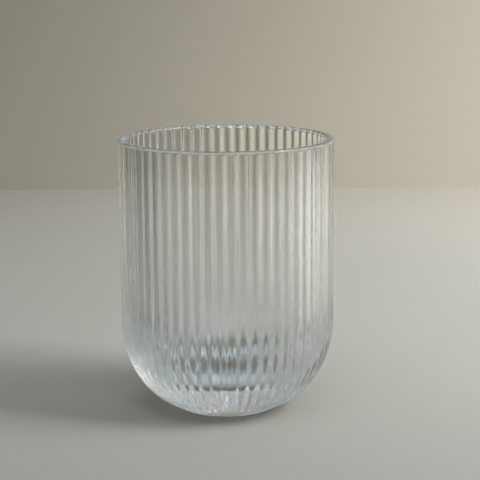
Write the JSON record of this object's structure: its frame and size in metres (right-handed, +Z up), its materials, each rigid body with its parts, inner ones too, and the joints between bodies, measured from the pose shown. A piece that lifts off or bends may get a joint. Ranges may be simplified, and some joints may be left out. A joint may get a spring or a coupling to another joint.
{
  "type": "tea glass",
  "caption": "Ribbed clear tea glass with a straight wall, a rounded lip and a rounded, ribbed bottom on a small flat foot.",
  "frame": {"origin": "centre of the foot ring, on the surface that the glass stands on", "axes": "+Z up along the axis of the glass to its mouth; the crest of one rib lies at -Y"},
  "size_m": [0.07, 0.07, 0.089],
  "materials": {
    "clear_glass": "clear, polished"
  },
  "bodies": {
    "root": {"glass": "clear_glass"}
  },
  "joints": []
}
